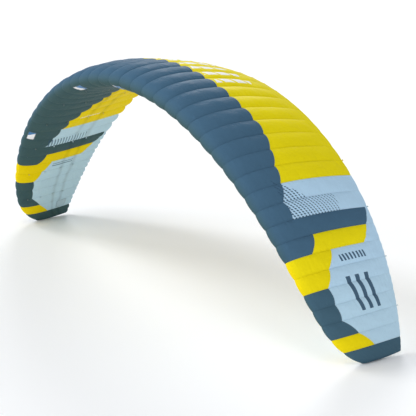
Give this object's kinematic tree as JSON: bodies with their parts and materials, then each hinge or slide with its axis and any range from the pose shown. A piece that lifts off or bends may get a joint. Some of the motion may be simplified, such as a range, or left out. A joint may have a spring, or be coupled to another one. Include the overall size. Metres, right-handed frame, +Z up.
{
  "type": "parafoil kite",
  "caption": "Inflated ram-air foil kite canopy in a deep arc, with closed cells, air inlets, ribs and bridle loops.",
  "frame": {"origin": "centre of the canopy's bounding box at the level of the lowest point of the wing tips", "axes": "+X along the span to the right wing tip, +Y from the leading edge to the trailing edge, +Z up"},
  "size_m": [6.8516, 1.55, 2.6482],
  "materials": {
    "sail_aft": "calendered ripstop with a soft sheen, yellow in the middle and light blue outside",
    "sail_nose": "calendered ripstop with a soft sheen, slate blue",
    "sail_under": "calendered ripstop, light blue and yellow behind slate blue",
    "sail_trailing": "calendered ripstop with small wrinkles",
    "rib_cloth": "hard-finished white ripstop",
    "valve_cloth": "white ripstop with a blue edge",
    "webbing": "woven tape",
    "rod_plastic": "drawn nylon",
    "zip_cloth": "twill tape",
    "zip_plastic": "moulded coil",
    "zip_metal": "enamelled zinc"
  },
  "bodies": {
    "centre_section": {"top_skin_centre": "sail_aft", "nose_skin_centre": "sail_nose", "bottom_skin_centre": "sail_under", "trailing_panel_centre": "sail_trailing", "ribs_centre": "rib_cloth", "diagonal_ribs_centre": "rib_cloth", "nose_rods_centre": "rod_plastic", "bridle_loops_centre": "webbing", "zip_tape": "zip_cloth", "zip_coil": "zip_plastic"},
    "mid_section_right": {"top_skin_mid_right": "sail_aft", "nose_skin_mid_right": "sail_nose", "bottom_skin_mid_right": "sail_under", "trailing_panel_mid_right": "sail_trailing", "ribs_mid_right": "rib_cloth", "diagonal_ribs_mid_right": "rib_cloth", "nose_rods_mid_right": "rod_plastic", "bridle_loops_mid_right": "webbing", "brake_loops_mid_right": "webbing"},
    "tip_section_right": {"top_skin_tip_right": "sail_aft", "nose_skin_tip_right": "sail_nose", "bottom_skin_tip_right": "sail_under", "trailing_panel_tip_right": "sail_trailing", "ribs_tip_right": "rib_cloth", "diagonal_ribs_tip_right": "rib_cloth", "nose_rods_tip_right": "rod_plastic", "bridle_loops_tip_right": "webbing", "brake_loops_tip_right": "webbing", "tip_panel_right": "sail_nose"},
    "sand_flap_right": {"sand_flap_right": "sail_nose"},
    "valve_flap_inner_right": {"valve_flap_inner_right": "valve_cloth"},
    "valve_flap_outer_right": {"valve_flap_outer_right": "valve_cloth"},
    "mid_section_left": {"top_skin_mid_left": "sail_aft", "nose_skin_mid_left": "sail_nose", "bottom_skin_mid_left": "sail_under", "trailing_panel_mid_left": "sail_trailing", "ribs_mid_left": "rib_cloth", "diagonal_ribs_mid_left": "rib_cloth", "nose_rods_mid_left": "rod_plastic", "bridle_loops_mid_left": "webbing", "brake_loops_mid_left": "webbing"},
    "tip_section_left": {"top_skin_tip_left": "sail_aft", "nose_skin_tip_left": "sail_nose", "bottom_skin_tip_left": "sail_under", "trailing_panel_tip_left": "sail_trailing", "ribs_tip_left": "rib_cloth", "diagonal_ribs_tip_left": "rib_cloth", "nose_rods_tip_left": "rod_plastic", "bridle_loops_tip_left": "webbing", "brake_loops_tip_left": "webbing", "tip_panel_left": "sail_nose"},
    "sand_flap_left": {"sand_flap_left": "sail_nose"},
    "valve_flap_inner_left": {"valve_flap_inner_left": "valve_cloth"},
    "valve_flap_outer_left": {"valve_flap_outer_left": "valve_cloth"},
    "valve_flap_centre": {"valve_flap_centre": "valve_cloth"},
    "zip_slider": {"zip_slider": "zip_metal"}
  },
  "joints": [
    {"name": "mid_flex_right", "type": "hinge", "parent": "centre_section", "child": "mid_section_right", "pos_m": [1.41595, 0, 2.17417], "axis": [0, 1, 0], "range_deg": [-10, 10], "stiffness_Nm_per_rad": 600},
    {"name": "tip_flex_right", "type": "hinge", "parent": "mid_section_right", "child": "tip_section_right", "pos_m": [2.70622, 0, 1.15695], "axis": [0, 1, 0], "range_deg": [-10, 10], "stiffness_Nm_per_rad": 200},
    {"name": "mid_flex_left", "type": "hinge", "parent": "centre_section", "child": "mid_section_left", "pos_m": [-1.41595, 0, 2.17417], "axis": [0, -1, 0], "range_deg": [-10, 10], "stiffness_Nm_per_rad": 600},
    {"name": "tip_flex_left", "type": "hinge", "parent": "mid_section_left", "child": "tip_section_left", "pos_m": [-2.70622, 0, 1.15695], "axis": [0, -1, 0], "range_deg": [-10, 10], "stiffness_Nm_per_rad": 200},
    {"name": "valve_flap_centre_hinge", "type": "hinge", "parent": "centre_section", "child": "valve_flap_centre", "pos_m": [0, -0.74941, 2.45429], "axis": [1, 0, 0], "range_deg": [0, 50]},
    {"name": "valve_flap_inner_right_hinge", "type": "hinge", "parent": "centre_section", "child": "valve_flap_inner_right", "pos_m": [0.88526, -0.74587, 2.3334], "axis": [0.9632, 0, -0.2689], "range_deg": [0, 50]},
    {"name": "valve_flap_outer_right_hinge", "type": "hinge", "parent": "mid_section_right", "child": "valve_flap_outer_right", "pos_m": [2.35372, -0.66236, 1.49803], "axis": [0.724, 0, -0.6898], "range_deg": [0, 50]},
    {"name": "sand_flap_right_hinge", "type": "hinge", "parent": "tip_section_right", "child": "sand_flap_right", "pos_m": [3.29022, 0.21862, 0.21192], "axis": [-0.4148, 0, 0.9099], "range_deg": [0, 100]},
    {"name": "valve_flap_inner_left_hinge", "type": "hinge", "parent": "centre_section", "child": "valve_flap_inner_left", "pos_m": [-0.88526, -0.74587, 2.3334], "axis": [0.9632, 0, 0.2689], "range_deg": [0, 50]},
    {"name": "valve_flap_outer_left_hinge", "type": "hinge", "parent": "mid_section_left", "child": "valve_flap_outer_left", "pos_m": [-2.35372, -0.66236, 1.49803], "axis": [0.724, 0, 0.6898], "range_deg": [0, 50]},
    {"name": "sand_flap_left_hinge", "type": "hinge", "parent": "tip_section_left", "child": "sand_flap_left", "pos_m": [-3.29022, 0.21862, 0.21192], "axis": [-0.4148, 0, -0.9099], "range_deg": [0, 100]},
    {"name": "zip_slide", "type": "slide", "parent": "centre_section", "child": "zip_slider", "axis": [1, 0, 0], "range_m": [0, 0.15]}
  ],
  "couplings": [
    {"joint": "tip_flex_right", "follows": "mid_flex_right", "ratio": 1},
    {"joint": "tip_flex_left", "follows": "mid_flex_left", "ratio": 1}
  ]
}
